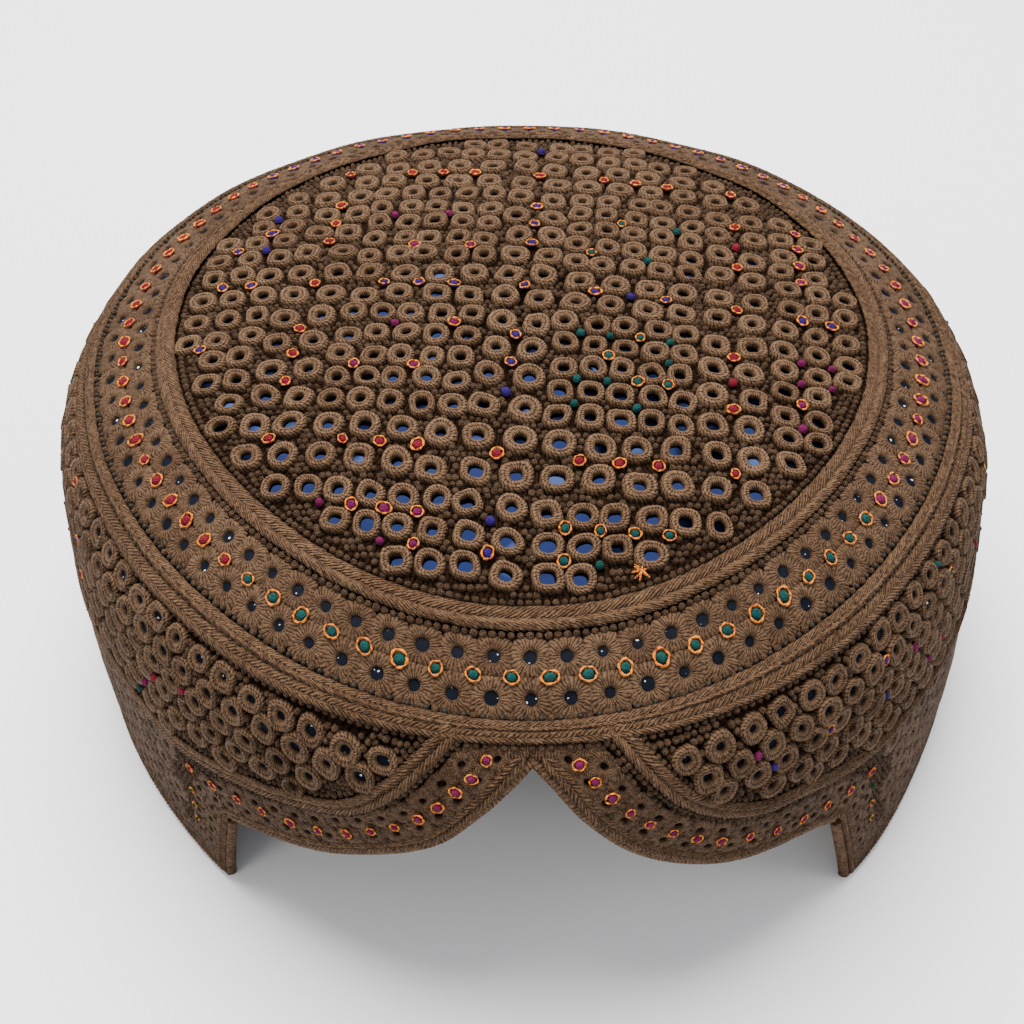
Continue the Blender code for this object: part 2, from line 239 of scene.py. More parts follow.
def uneven(distance, azimuth):
    """Hand-worked cloth is never quite even: a sum of long, low waves over the skin."""
    waves = np.sin(5 * azimuth + 60 * distance + 0.4) + np.sin(11 * azimuth - 95 * distance + 1.9)
    waves = waves + 0.8 * np.sin(17 * azimuth + 140 * distance + 4.0)
    return 0.11 * MM * waves * np.clip((FOOT_DISTANCE - distance) / (12 * MM), 0, 1)


def skin_point(distance, azimuth, out):
    """The outline's point, pushed out along its normal, turned to its azimuth and settled."""
    distance, azimuth, out = np.broadcast_arrays(distance, azimuth, out)
    tilt, radius, height = (np.interp(distance, DISTANCE, column) for column in (TILT, RADIUS, HEIGHT))
    out = out + uneven(distance, azimuth)
    radius = radius + out * np.sin(tilt)
    height = height + out * np.cos(tilt) - np.maximum(distance - FOOT_DISTANCE, 0)
    plan = 1 + sum(share * np.cos(waves * azimuth) for waves, share in PLAN_WAVES)
    loose = np.minimum(height / CROWN_EDGE_HEIGHT, (radius / CROWN_RADIUS) ** 2)
    drop = sum(depth * np.cos(waves * azimuth) for waves, depth in DROOP_WAVES)
    off_corner = (from_front(azimuth) - SPLAY_AZIMUTH) / SPLAY_WIDTH
    splay = SPLAY_OUT * np.exp(-off_corner ** 2) * np.maximum(0, 1 - height / SPLAY_TOP)
    spread = plan * radius + splay
    x = AXIS_X + spread * np.sin(azimuth) - LEAN * height
    y = AXIS_Y - spread * np.cos(azimuth)
    return np.stack((x, y, height - loose * drop), axis=-1)


def turned(turn, along, across):
    """Footprint turned counterclockwise."""
    cosine, sine = np.cos(turn), np.sin(turn)
    return along * cosine - across * sine, along * sine + across * cosine


def laid_on_wall(distance, azimuth, turn, along, across, out):
    """Footprints turned and laid on the skin: along runs round the cap, across runs up it."""
    distance, azimuth = copies_of(distance), copies_of(azimuth)
    right, up = turned(copies_of(turn), along, across)
    girth = np.interp(distance, DISTANCE, RADIUS)
    return skin_point(distance - up, azimuth + right / girth, out)


def laid_on_crown(x, y, turn, along, across, out):
    """Footprints turned and laid on the crown round plan places x and y."""
    right, back = turned(copies_of(turn), along, across)
    right, back = right + copies_of(x), back + copies_of(y)
    distance = distance_at_radius(np.hypot(right, back))
    return skin_point(distance, np.arctan2(right, -back), out)


def piece(name, points, loops, sizes, finish, uv, replaces=(), slot="eyelet_field"):
    """Mesh piece from flat arrays of corners, riding on the cap's one body."""
    mesh = bpy.data.meshes.new(name)
    mesh.vertices.add(len(points))
    mesh.vertices.foreach_set("co", np.ascontiguousarray(points, dtype=np.float32).ravel())
    mesh.loops.add(len(loops))
    mesh.loops.foreach_set("vertex_index", np.ascontiguousarray(loops, dtype=np.int32))
    mesh.polygons.add(len(sizes))
    starts = np.concatenate(([0], np.cumsum(sizes)[:-1]))
    mesh.polygons.foreach_set("loop_start", np.ascontiguousarray(starts, dtype=np.int32))
    layer = mesh.uv_layers.new(name="stitches")
    layer.data.foreach_set("uv", np.ascontiguousarray(uv, dtype=np.float32).ravel())
    mesh.update(calc_edges=True)
    mesh.validate()
    mesh.shade_smooth()
    mesh.materials.append(finish)
    made = bpy.data.objects.new(name, mesh)
    bpy.context.scene.collection.objects.link(made)
    if replaces:
        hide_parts(*replaces)
    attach(made, "root")
    return made


def ringed(name, points, finish, caps="", looped=False, run=None, **keys):
    """Copies of a ringed shape in one mesh: points has a row for each copy, ring and side.

    Each ring is closed round its sides and joined to the next, and the last to the first if
    looped. caps names the ends that one flat face closes. The UV map counts sides from the copy's
    own number along U, and rings along V, from 0 to 1 or in steps of run rings.
    """
    copies, rings, sides = points.shape[:3]
    number = np.arange(copies * rings * sides).reshape(copies, rings, sides)
    upper = np.roll(number, -1, axis=1)
    spans = rings if looped else rings - 1
    quads = np.stack((number, np.roll(number, -1, axis=2), np.roll(upper, -1, axis=2), upper), axis=-1)
    quads = quads[:, :spans]
    copy, ring, side = np.indices((copies, spans, sides))
    u = np.stack((side, side + 1, side + 1, side), axis=-1) / sides + copy[..., None]
    v = np.stack((ring, ring, ring + 1, ring + 1), axis=-1) / (run or max(1, rings - 1))
    loops, sizes = [quads.ravel()], [np.full(copies * spans * sides, 4)]
    uvs = [np.stack((u, v), axis=-1).reshape(-1, 2)]
    for end, ring_at, step, level in (("first", 0, -1, 0.0), ("last", -1, 1, 1.0)):
        if end in caps:
            loops.append(number[:, ring_at, ::step].ravel())
            sizes.append(np.full(copies, sides))
            u = np.arange(copies)[:, None] + np.arange(sides)[::step] / sides
            uvs.append(np.column_stack((u.ravel(), np.full(u.size, level))))
    corners = (np.concatenate(part) for part in (loops, sizes))
    return piece(name, points.reshape(-1, 3), *corners, finish, np.concatenate(uvs), **keys)


def copies_of(values):
    """A value for each copy, or one for all, shaped to meet rings and sides."""
    return np.asarray(values, dtype=float).reshape(-1, 1, 1)


def rings_of(*values):
    """A value for each ring, shaped to meet copies and sides."""
    return np.reshape(values, (1, -1, 1))


def ring_angles(sides):
    """Angles evenly round a ring."""
    return 2 * np.pi * np.arange(sides) / sides


def round_form(reach, angle, out):
    """Form whose rings reach out by angle: its footprint and its height."""
    return reach * np.cos(angle), reach * np.sin(angle), out


# Share of an eyelet's height at each of its rings, from the foot outside to the hole's floor
FLAT_RING = (-0.08, 0.62, 0.98, 1.0, 0.72, -0.04)
SHALLOW_BOWL = (-0.1, 0.6, 1.0, 0.8, 0.5, -0.04)


def eyelet_form(radius, hole, height, rng, rise):
    """Raised eyelet: a padded ring of stitches round a hole, a little square and oval.

    Round each ring the radius changes by a cosine of four turns, which squares it, one of two
    turns, which makes it oval, and a faint one of three.
    """
    angle = ring_angles(EYELET_SIDES)
    spans = (0.0, 0.085), (-0.09, 0.09), (0, math.pi), (-0.035, 0.035)
    square, oval, phase, lobed = (copies_of(rng.uniform(*span, len(radius))) for span in spans)
    form = 1 - square * np.cos(4 * angle) + oval * np.cos(2 * angle + phase)
    form = form + lobed * np.cos(3 * angle - phase)
    outer, inner = copies_of(radius), copies_of(hole)
    reach = (inner + (outer - inner) * rings_of(1.1, 1.0, 0.84, 0.42, 0.06, 0.0)) * form
    tip = 1 + copies_of(rng.normal(0, 0.07, len(radius))) * np.cos(angle + phase)
    return round_form(reach, angle, copies_of(height) * rings_of(*rise) * tip)


def rosette_form(half, hole, height, rng):
    """Flat eyelet: a squarish patch of radial stitches that dips to a small hole.

    The patch's edge is a superellipse of the fourth power, and its rings run from the edge in.
    """
    angle = ring_angles(EYELET_SIDES)
    edge = (np.cos(angle) ** 4 + np.sin(angle) ** 4) ** -0.25
    outer, inner = copies_of(half), copies_of(hole)
    share = rings_of(1.0, 0.82, 0.42, 0.12, 0.0)
    reach = (inner + (outer - inner) * share) * (1 + (edge - 1) * share)
    rise = rings_of(0.35, 0.8, 1.0, 0.75, -0.5) * (1 + copies_of(rng.normal(0, 0.06, len(hole))))
    return round_form(reach, angle, height * rise)


def knot_form(radius, height, rng, sides=6):
    """Knot: a small dome in two rings, closed on top."""
    angle = ring_angles(sides) + copies_of(rng.uniform(0, 1, len(radius)))
    reach = copies_of(radius) * rings_of(1.0, 0.86, 0.35)
    return round_form(reach, angle, copies_of(height) * rings_of(-0.15, 0.62, 1.0))


def disc_form(radius, sides):
    """Disc: two rings, closed in the middle."""
    return round_form(copies_of(radius) * rings_of(1.0, 0.3), ring_angles(sides), 0.0)


def strand_form(length, width, thick, lift):
    """Strand: a spindle along its path, whose section shrinks to both ends as a circle's chord."""
    t = rings_of(-1, -0.72, 0, 0.72, 1)
    fat = np.maximum(np.sqrt(1 - t ** 2), 0.22)
    angle = ring_angles(5)
    thick = copies_of(thick)
    out = copies_of(lift) + thick / 2 * fat * np.sin(angle) - 0.25 * thick * t ** 2
    return copies_of(length) / 2 * t, copies_of(width) / 2 * fat * np.cos(angle), out


def catmull_rom(rows, column):
    """Smooth curve through a table's azimuths and one height column, in radians and metres."""
    table = np.array(rows, dtype=float)[:, (0, column)]
    table = np.vstack((2 * table[0] - table[1], table, 2 * table[-1] - table[-2]))
    before, start, end, after = (table[i:len(table) - 3 + i, None] for i in range(4))
    t = (np.arange(TABLE_STEPS) / TABLE_STEPS)[None, :, None]
    bend = 2 * before - 5 * start + 4 * end - after
    twist = 3 * start - before - 3 * end + after
    curve = start + 0.5 * (t * (end - before) + t * t * bend + t ** 3 * twist)
    curve = np.vstack((curve.reshape(-1, 2), table[-2]))
    return curve * (math.pi / 180, MM)


def unrolled(azimuth, height):
    """Place on the unrolled wall: round the cap at the foot's girth, and down along the skin."""
    return np.column_stack((np.asarray(azimuth) * FOOT_RADIUS, -distance_at_height(height)))


def evenly(path, step, start=None):
    """Points about one step apart along a path, and the direction of the path at each.

    Without a start they fill the path. With one, the last stands half a step before the end.
    """
    lengths = lengths_along(path)
    if start is None:
        at = np.arange(0, lengths[-1], step)
    else:
        count = round((lengths[-1] - start) / step + 0.5)
        at = start + (lengths[-1] - start) / (count - 0.5) * np.arange(count)
    points, ahead, behind = (
        np.column_stack([np.interp(at + shift, lengths, column) for column in path.T])
        for shift in (0, 0.5 * MM, -0.5 * MM)
    )
    run = ahead - behind
    return points, np.arctan2(run[:, 1], run[:, 0])


def moved_in(path, distance):
    """Path moved into the cloth, which lies to its left, along normals smoothed over 1 mm."""
    points, turn = evenly(path, 0.5 * MM)
    normal = np.column_stack((-np.sin(turn), np.cos(turn)))
    return points + distance * normal


def wall_place(points):
    """Distance and azimuth of places on the unrolled wall."""
    return -points[:, 1], points[:, 0] / FOOT_RADIUS


def to_back(table, side, start, height, count):
    """Line through a table's places on one side, and from start on level round to the back."""
    front = catmull_rom(table, 1 if side < 0 else 2)
    back = np.column_stack((np.radians(np.linspace(start, 180, count)), np.full(count, height)))
    return unrolled(*np.concatenate((front, back)).T)


def lower_edge(side):
    """Lower edge from the apex over one lobe, down the panel's edge and round to the back."""
    return to_back(ARCH_EDGE, side, PANEL_FOOT_AZIMUTH, 0.0, 140)


def braid_line(side):
    """Middle of the wall's braid from under the rim round to the back."""
    return to_back(PANEL_BRAID, side, PANEL_BRAID[-1][0] + 1, PANEL_BRAID[-1][2] * MM, 130)


def on_side(side, points, turn):
    """Places worked out on the +X side, put on the side asked for."""
    distance, azimuth = wall_place(points)
    return distance, side * azimuth, side * turn if side > 0 else math.pi - turn


def joined(parts):
    """Lists of places from both sides, as one set of columns."""
    return tuple(np.concatenate(column) for column in zip(*parts))


def both_sides(line_of, insets, step, start, slack=math.inf):
    """Places evenly along a line of each side, moved into the cloth by each of the insets.

    Where the line bends sharply, places that come nearer to it than the inset less the slack
    are left out.
    """
    rows = []
    for side in (-1, 1):
        for inset in insets:
            line = moved_in(line_of(side), inset) if inset else line_of(side)
            row = on_side(side, *evenly(line, step, start))
            clear = above(line_of, *row[:2]) > inset - slack
            rows.append([column[clear] for column in row])
    return joined(rows)


def feed(tree, node, inputs):
    """Give a node's inputs, by name or number, plain values or links."""
    for key, value in inputs.items():
        if isinstance(value, bpy.types.NodeSocket):
            tree.links.new(value, node.inputs[key])
        else:
            node.inputs[key].default_value = (*value, 1.0) if isinstance(value, tuple) else value


def add_node(tree, kind, inputs, **settings):
    """New node, with its settings and inputs."""
    node = tree.nodes.new(kind)
    for key, value in settings.items():
        setattr(node, key, value)
    feed(tree, node, inputs)
    return node


def calc(tree, operation, *values, clamp=False):
    """Math node fed by sockets or plain numbers."""
    inputs = dict(enumerate(values))
    return add_node(tree, "ShaderNodeMath", inputs, operation=operation, use_clamp=clamp).outputs[0]


def scaled(tree, value, factor, plus=0.0, clamp=False):
    """Value times a factor, plus another value."""
    return calc(tree, "MULTIPLY_ADD", value, factor, plus, clamp=clamp)


def mix_colour(tree, share, first, second):
    """Mix of two colours, each a socket or plain, by a share."""
    return add_node(tree, "ShaderNodeMix", {0: share, 6: first, 7: second}, data_type="RGBA").outputs[2]


def noise(tree, scale, detail):
    """Noise over the piece's own coordinates."""
    place = tree.nodes.get("place") or add_node(tree, "ShaderNodeTexCoord", {}, name="place")
    inputs = {"Vector": place.outputs["Object"], "Scale": scale, "Detail": detail}
    return add_node(tree, "ShaderNodeTexNoise", inputs).outputs[0]


def random_value(tree, number):
    """Random value for each number."""
    node = add_node(tree, "ShaderNodeTexWhiteNoise", {"W": number}, noise_dimensions="1D")
    return node.outputs["Value"]


# Sockets of the node groups that hold no plain number
SOCKET_KINDS = {"Map": "Vector", "High": "Color", "Middle": "Color", "Low": "Color", "Colour": "Color"}


def new_group(name, inputs, outputs):
    """Node group with named sockets, and its input and output nodes."""
    group = bpy.data.node_groups.new(name, "ShaderNodeTree")
    for way, labels in (("INPUT", inputs), ("OUTPUT", outputs)):
        for label in labels:
            kind = "NodeSocket" + SOCKET_KINDS.get(label, "Float")
            group.interface.new_socket(name=label, in_out=way, socket_type=kind)
    return group, group.nodes.new("NodeGroupInput"), group.nodes.new("NodeGroupOutput")


def stitches_group():
    """Rows of stitches over the UV map: a rounded ridge, and a random tone by stitch and copy."""
    group, given, result = new_group("stitch_rows", ("Map", "Count", "Slant"), ("Ridge", "Tone", "Along"))
    chart, count, slant = given.outputs[:3]
    round_it, along = add_node(group, "ShaderNodeSeparateXYZ", {0: chart}).outputs[:2]
    counted = scaled(group, scaled(group, along, slant, round_it), count)
    counted = scaled(group, noise(group, 700.0, 1.0), 1.6, counted)
    wave = calc(group, "ABSOLUTE", calc(group, "SINE", scaled(group, counted, math.pi)))
    stitch = random_value(group, calc(group, "FLOOR", counted))
    own = random_value(group, calc(group, "ADD", calc(group, "FLOOR", round_it), 0.37))
    tone = scaled(group, own, 0.9, scaled(group, stitch, 0.5))
    feed(group, result, {"Ridge": calc(group, "POWER", wave, 0.85), "Tone": tone, "Along": along})
    return group


def cotton_group():
    """Dyed cotton: ridges are painted lighter than grooves, which take the low tone as painted shade, and
    bands of painted highlight and painted shade come in from two inputs; with fibres, a broad fade and lint.
    """
    inputs = "High", "Middle", "Low", "Ridge", "Tone", "Painted_highlight", "Sunk"
    group, given, result = new_group("dyed_cotton", inputs, ("Colour", "Height", "Roughness"))
    high, middle, low, ridge, tone, painted_highlight, sunk = given.outputs[:7]
    grains = (5200.0, 3.0), (1500.0, 3.0), (28.0, 2.0)
    fibre, clump, fade = (noise(group, *grain) for grain in grains)
    light = scaled(group, tone, 0.4, scaled(group, fibre, 1.7, -1.53))
    light = scaled(group, fade, 0.6, scaled(group, clump, 1.1, light), clamp=True)
    # Crest bands lighten the thread as a painted highlight
    light = scaled(group, painted_highlight, 0.45, light, clamp=True)
    # Grooves between the ridges fall to the low tone as painted shade; valley bands darken it further as
    # painted shade, crest bands lift it as painted highlight
    risen = scaled(group, clump, 2.2, calc(group, "ADD", ridge, -1.0))
    risen = scaled(group, sunk, -0.75, scaled(group, painted_highlight, 0.34, risen), clamp=True)
    colour = mix_colour(group, risen, low, mix_colour(group, light, middle, high))
    height = scaled(group, clump, 1.3, scaled(group, fibre, 1.4, ridge))
    rough = scaled(group, fibre, 0.15, 0.8)
    feed(group, result, {"Colour": colour, "Height": height, "Roughness": rough})
    return group


STITCH_ROWS = stitches_group()
DYED_COTTON = cotton_group()


def principled(name):
    """New material, its node tree and its shader."""
    made = bpy.data.materials.new(name)
    made.use_nodes = True
    return made, made.node_tree, made.node_tree.nodes["Principled BSDF"]


def thread(name, tones, count, slant=0.0, relief=0.12 * MM, gloss=0.2, crests=(), valleys=()):
    """Cotton thread worked in rows of stitches that follow the piece's UV map.

    tones are its light, middle and dark colour, the dark one painted shade in the grooves. crests and
    valleys are bands along V, each a place, a steepness and a weight: painted highlight on crests, painted
    shade in valleys.
    """
    made, tree, shader = principled(name)
    chart = add_node(tree, "ShaderNodeUVMap", {}, uv_map="stitches").outputs["UV"]
    inputs = {"Map": chart, "Count": count, "Slant": slant}
    rows = add_node(tree, "ShaderNodeGroup", inputs, node_tree=STITCH_ROWS).outputs
    inputs = dict(zip(("High", "Middle", "Low", "Ridge", "Tone"), (*tones, rows["Ridge"], rows["Tone"])))
    # crests feed the painted highlight, valleys the painted shade
    for socket, bands in (("Painted_highlight", crests), ("Sunk", valleys)):
        for place, steepness, weight in bands:
            off = calc(tree, "ABSOLUTE", calc(tree, "SUBTRACT", rows["Along"], place))
            near = scaled(tree, scaled(tree, off, -steepness, 1.0, clamp=True), weight)
            inputs[socket] = calc(tree, "MAXIMUM", near, inputs.get(socket, 0.0))
    cotton = add_node(tree, "ShaderNodeGroup", inputs, node_tree=DYED_COTTON).outputs
    bump = {"Strength": 1.0, "Distance": relief, "Height": cotton["Height"]}
    feed(tree, shader, {
        "Base Color": cotton["Colour"],
        "Roughness": cotton["Roughness"],
        "Normal": add_node(tree, "ShaderNodeBump", bump).outputs["Normal"],
        "Specular IOR Level": gloss,
    })
    return made


def cloudy(name, scale, dark, light, levels, by_cloud=0.0, least=0.0, fleck=None, by_fleck=0.0):
    """Smooth material: cloudy between two tones, with flecks where a second noise peaks.

    fleck is the second noise's scale, its gain and offset, and the flecks' colour. The roughness
    starts from the least, and the cloud and the flecks change it by their weights.
    """
    made, tree, shader = principled(name)
    cloud = noise(tree, scale, 2.0)
    tone = mix_colour(tree, cloud, dark, light)
    if fleck:
        grain, gain, offset, bright = fleck
        share = scaled(tree, noise(tree, grain, 0.0), gain, offset, clamp=True)
        tone = mix_colour(tree, share, tone, bright)
        least = scaled(tree, share, by_fleck, least)
    rough = scaled(tree, cloud, by_cloud, least)
    feed(tree, shader, {"Base Color": tone, "Roughness": rough, **levels})
    return made


def dyed(strength):
    """Light, middle and dark tone of the brown thread, stronger or weaker; the dark tone is painted shade in
    the grooves.
    """
    return tuple(tuple(strength * part for part in tone) for tone in (TAN, TOBACCO, UMBER))


# Bands along an eyelet's stitches, from the foot outside to the hole: crests are painted highlight where the
# tops face the light, valleys painted shade at the foot, between the rings and in the hole
EYELET_LOOK = {
    "count": 22.0,
    "slant": 0.11,
    "relief": 0.2 * MM,
    "crests": ((0.27, 12.0, 0.8), (0.46, 13.0, 1.0), (0.68, 11.0, 1.0)),
    "valleys": ((0.0, 6.0, 1.0), (0.36, 20.0, 0.8), (0.57, 20.0, 0.8), (1.0, 4.5, 1.0)),
}
RAISED_THREAD = thread("raised_thread", dyed(1.1), **EYELET_LOOK)
WALL_THREAD = thread("wall_thread", dyed(0.96), **EYELET_LOOK)
# Painted shade round each rosette's hole and, weaker, at its outer edge
ROSETTE_VALLEYS = ((1.0, 3.2, 1.0), (0.0, 9.0, 0.3))
ROSETTE_THREAD = thread("rosette_thread", dyed(0.87), count=27.0, relief=0.17 * MM, valleys=ROSETTE_VALLEYS)
# Painted shade at the foot of each knot
KNOT_VALLEYS = ((0.0, 5.0, 1.0),)
KNOT_THREAD = thread("knot_thread", dyed(0.81), count=3.0, slant=0.8, relief=0.25 * MM, valleys=KNOT_VALLEYS)
BRAID_THREAD = thread("plait_thread", dyed(1.15), count=5.0, slant=0.15, relief=0.22 * MM)
CORD_THREAD = thread("cord_thread", dyed(1.0), count=1.0, slant=1.0, relief=0.25 * MM)
GROUND_TONES = ((0.024, 0.0125, 0.007), (0.010, 0.0052, 0.003), (0.002, 0.0011, 0.0008))
GROUND_THREAD = thread("ground_thread", GROUND_TONES, count=400.0, relief=0.3 * MM, gloss=0.0)
LINING_TONES = ((0.10, 0.055, 0.026), (0.07, 0.038, 0.018), (0.035, 0.018, 0.009))
LINING_CLOTH = thread("lining_cloth", LINING_TONES, count=500.0, relief=0.05 * MM)
ORANGE_TONES = ((0.85, 0.27, 0.025), (0.62, 0.155, 0.012), (0.05, 0.006, 0.002))
ORANGE_THREAD = thread("orange_thread", ORANGE_TONES, count=1.0, slant=14 / 3, relief=0.16 * MM)
# Each stud colour in a light, middle and dark tone, the dark one painted shade in the grooves
STUD_THREADS = {
    name: thread("stud_" + name, [tuple(k * c for c in colour) for k in (1.5, 1.0, 0.35)], 5.0, 0.5)
    for name, colour in STUD_COLOURS.items()
}
# Mirror discs: the blue of their base colour and specular tint is a painted blue reflection; the lamps'
# reflections in them are rendered
DISC_MIRROR = cloudy(
    "disc_mirror", 230.0, (0.0002, 0.0006, 0.003), (0.0007, 0.0020, 0.012),
    {"Metallic": 0.9, "Specular Tint": (0.38, 0.5, 1.0)},
    by_cloud=0.12, least=0.05, fleck=(110.0, 12.0, -7.9, (0.006, 0.009, 0.022)),
)
# Discs in the rosettes' and wall eyelets' holes: near-black as a painted dark reflection in place of a
# mirror's, with bright flecks that are painted glints
DARK_DISC = cloudy(
    "dark_disc", 600.0, (0.001, 0.0015, 0.003), (0.005, 0.007, 0.014), {"Specular IOR Level": 0.04},
    least=0.6, fleck=(1500.0, 20.0, -15.2, (0.6, 0.66, 0.7)), by_fleck=-0.3,
)
DARK_BEAD = cloudy(
    "dark_bead", 420.0, (0.006, 0.0045, 0.003), (0.034, 0.026, 0.018), {"Specular IOR Level": 0.1},
    by_cloud=0.6, least=0.15,
)


def make_crown_cloth():
    """Ground cloth of the crown: a closed shell, inner face first, then the outer face back in."""
    reach = np.linspace(0.002, 1.0, 32) * (EDGE_DISTANCE + 0.6 * MM)
    inner = np.stack((reach, np.full_like(reach, -CLOTH_THICK)), axis=1)
    outer = np.stack((reach[::-1], np.full_like(reach, -0.1 * MM)), axis=1)
    section = np.concatenate((inner, outer))
    azimuth = ring_angles(144)[None, :]
    points = skin_point(section[:, :1], azimuth, section[:, 1:])
    ringed("crown_cloth", points[None], GROUND_THREAD, "first last", replaces=("crown",))


def edge_columns():
    """Columns of the wall's cloth: azimuth and distance of the edge above the cord, right round."""
    inset = 2 * CORD_RADIUS + GAP
    halves = []
    for side in (-1, 1):
        distance, azimuth = wall_place(moved_in(lower_edge(side), inset)[::3])
        order = np.argsort(azimuth)
        order = order[(azimuth[order] > 0) & (azimuth[order] < math.pi)]
        halves.append(np.array((side * azimuth[order], distance[order])))
    apex = (0.0,), (distance_at_height(ARCH_EDGE[0][1] * MM) - inset,)
    return np.concatenate((halves[0][:, ::-1], apex, halves[1]), axis=1)


def make_wall_cloth():
    """Ground cloth of the wall: sections from the edge up the outside and down the inside."""
    azimuth, edge = edge_columns()
    rows = 18
    top = EDGE_DISTANCE + 0.9 * MM
    up = edge + (top - edge) * np.linspace(0, 1, rows)[:, None]
    out = np.repeat((-0.1 * MM, -CLOTH_THICK), rows)[:, None]
    points = skin_point(np.concatenate((up, up[::-1])), azimuth, out)[None]
    keys = {"replaces": ("side_band",), "slot": "wall_field"}
    mesh = ringed("wall_cloth", points, GROUND_THREAD, looped=True, **keys).data
    mesh.materials.append(LINING_CLOTH)
    ring = np.arange(len(mesh.polygons)) // len(azimuth)
    inside = (ring >= rows) & (ring < 2 * rows - 1)
    mesh.polygons.foreach_set("material_index", inside.astype(np.int32))


def field_layout():
    """Centres and sizes of the crown's raised eyelets, in the field's own axes.

    Eyelets stand in pairs along each dotted line. Between the lines is a block of smaller ones,
    and beyond the outer lines come rows spaced like a block's.
    """
    beside = LINE_STEP / LINE_STEPS * (np.arange(LINE_STEPS + 1) + 0.5)
    block = LINE_STEP / 2 + BLOCK_STEP * np.arange(-2, 3)
    outer = np.concatenate((beside[:1], block, beside[-2:]))
    quarter = []
    for first, second in ((beside, beside), (block, block), (outer, OUTER_ROWS), (OUTER_ROWS, outer)):
        p, q = (part.ravel() for part in np.meshgrid(first, second, indexing="ij"))
        quarter.append(np.column_stack((p, q, np.full(p.size, SMALL_EYELET))))
    inner = np.isin(np.arange(LINE_STEPS + 1), (1, 2, 3, 4))
    paired = ~(inner[:, None] & inner).ravel()
    quarter[0] = quarter[0][paired] + (0, 0, LARGE_EYELET - SMALL_EYELET)
    quarter = np.concatenate(quarter)
    whole = np.concatenate([quarter * (sx, sy, 1) for sx in (-1, 1) for sy in (-1, 1)])
    return whole[np.hypot(*field_place(*whole.T[:2])) < FIELD_REACH]


def field_place(p, q):
    """Field axes to plan: a stretch, a gentle warp, a turn and a shift."""
    p, q = FIELD_STRETCH[0] * np.asarray(p, float), FIELD_STRETCH[1] * np.asarray(q, float)
    bent = p + 0.9 * MM * np.sin(q / (21 * MM) + 0.6)
    lifted = q + 0.8 * MM * np.sin(p / (24 * MM) + 2.1)
    x, y = turned(FIELD_TURN, bent, lifted)
    return x + FIELD_MIDDLE[0], y + FIELD_MIDDLE[1]


def field_studs():
    """Places of the coloured studs of the crown's field, by colour name.

    On the dotted lines they stand at each crossing and in threes between. In the blocks and
    beyond the outer lines they stand where four eyelets meet.
    """
    lines = LINE_STEP * np.array((-1, 0, 1))
    three = LINE_STUD_STEP * np.array((-1, 0, 1))
    threes = np.concatenate((three - LINE_STEP / 2, three + LINE_STEP / 2))
    studs = {name: [] for name in STUD_COLOURS}
    for line in lines:
        far = abs(line) > 0
        studs["crimson" if far else "purple"] += [(line, q) for q in threes] + [(p, line) for p in threes]
        studs["crimson"] += [(line, q) for q in lines if far or q]
    far = (OUTER_ROWS[:2] + OUTER_ROWS[1:]) / 2
    studs["purple"] += [(0, 0)] + [(0, sign * q) for sign in (-1, 1) for q in far]
    studs["purple"] += [(sign * p, 0) for sign in (-1, 1) for p in far]
    gaps = LINE_STEP / 2 + BLOCK_STEP * (np.arange(4) - 1.5)
    for sx, sy, name, filled in BLOCK_STUDS:
        studs[name] += [
            (sx * p, sy * q)
            for i, p in enumerate(gaps)
            for j, q in enumerate(gaps)
            if (2 * i + 3 * j) % 4 < filled
        ]
    studs["magenta"] += [(-p, -far[0]) for p in gaps] + [(-p, -far[1]) for p in gaps[:3]]
    studs["teal"] += [(p, -far[0]) for p in gaps] + [(p, -far[1]) for p in gaps[:2]]
    studs["magenta"] += [(far[0], q) for q in (*gaps, *-gaps)] + [(far[1], q) for q in -gaps[:2]]
    studs["purple"] += [(-far[0], q) for q in gaps[:3]] + [(-far[1], q) for q in gaps[:3] * (1, -1, -1)]
    studs["teal"] += [(gaps[3], far[0])]
    studs["magenta"] += [(-gaps[0], far[1])]
    return {name: np.array(places) for name, places in studs.items() if places}


def clear_of(places, centres, radii):
    """Mask of the places that lie outside all the circles given."""
    return (np.linalg.norm(places[:, None] - centres, axis=2) > radii).all(axis=1)


def staggered(across, down, step, spread, rng):
    """Places of a grid whose second rows are shifted by half a step, each moved a little at random."""
    gu, gv = np.meshgrid(across, down)
    gu = gu + 0.5 * step * (np.arange(len(down)) % 2)[:, None]
    return np.column_stack((gu.ravel(), gv.ravel())) + rng.normal(0, spread, (gu.size, 2))


def make_studs(group, colour, centres, rng, share, size, lift, laid=laid_on_wall, slot="wall_field"):
    """Coloured knots, a share of them held in an orange ring of five stitches."""
    name = f"{group}_studs_{colour}"
    count = len(centres[0])
    held = rng.uniform(0, 1, count) < share
    size = size * rng.uniform(0.9, 1.1, count)
    turn = rng.uniform(0, math.pi, count)
    stretch = copies_of(rng.uniform(0.85, 1.2, count))
    along, across, out = knot_form(0.78 * size, 0.8 * MM, rng, 8)
    points = laid(*centres, turn, along * stretch, across, out + lift)
    ringed(name, points, STUD_THREADS[colour], "last", slot=slot)
    if not held.any():
        return
    angle = ring_angles(15)[:, None]
    tube = ring_angles(4) - math.pi / 2
    radius = copies_of(size[held])
    stitch = np.abs(np.sin(2.5 * angle))
    fat = radius * (0.1 + 0.12 * stitch) * copies_of(rng.uniform(0.85, 1.15, held.sum()))
    wave = np.cos(2 * angle + copies_of(rng.uniform(0, 6, held.sum())))
    reach = radius * (1.02 + 0.09 * wave) + fat * np.cos(tube)
    along, across, out = round_form(reach, angle, lift + 0.45 * MM - fat * np.sin(tube))
    centres = (centre[held] for centre in centres)
    points = laid(*centres, turn[held], along * stretch[held], across, out)
    ringed(name + "_rings", points, ORANGE_THREAD, looped=True, slot=slot)


